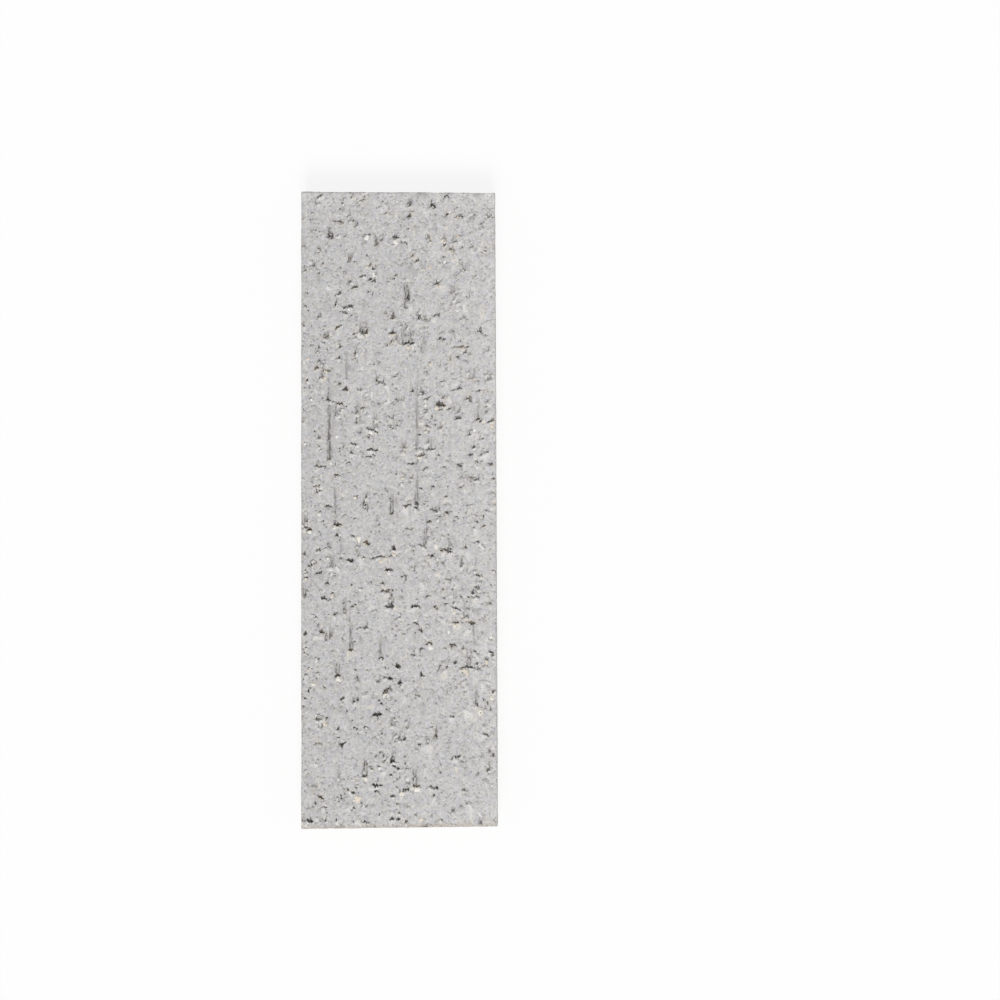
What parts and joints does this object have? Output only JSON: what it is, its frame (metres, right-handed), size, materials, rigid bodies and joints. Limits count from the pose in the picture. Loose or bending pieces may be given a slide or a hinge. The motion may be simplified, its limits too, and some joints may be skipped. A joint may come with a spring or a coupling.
{
  "type": "porcelain brick tile",
  "caption": "Flat rectangular unglazed ceramic tile with a drag-textured face and dovetail key slots along its back, bedded on a wall as brick facing.",
  "frame": {"origin": "middle of the back, in the bedding plane", "axes": "+X across the tile, +Y along its length, +Z out of its face"},
  "size_m": [0.065, 0.21, 0.014],
  "materials": {
    "fired_body": "matt, unglazed, drag-textured"
  },
  "bodies": {
    "root": {"brick_tile": "fired_body"}
  },
  "joints": []
}
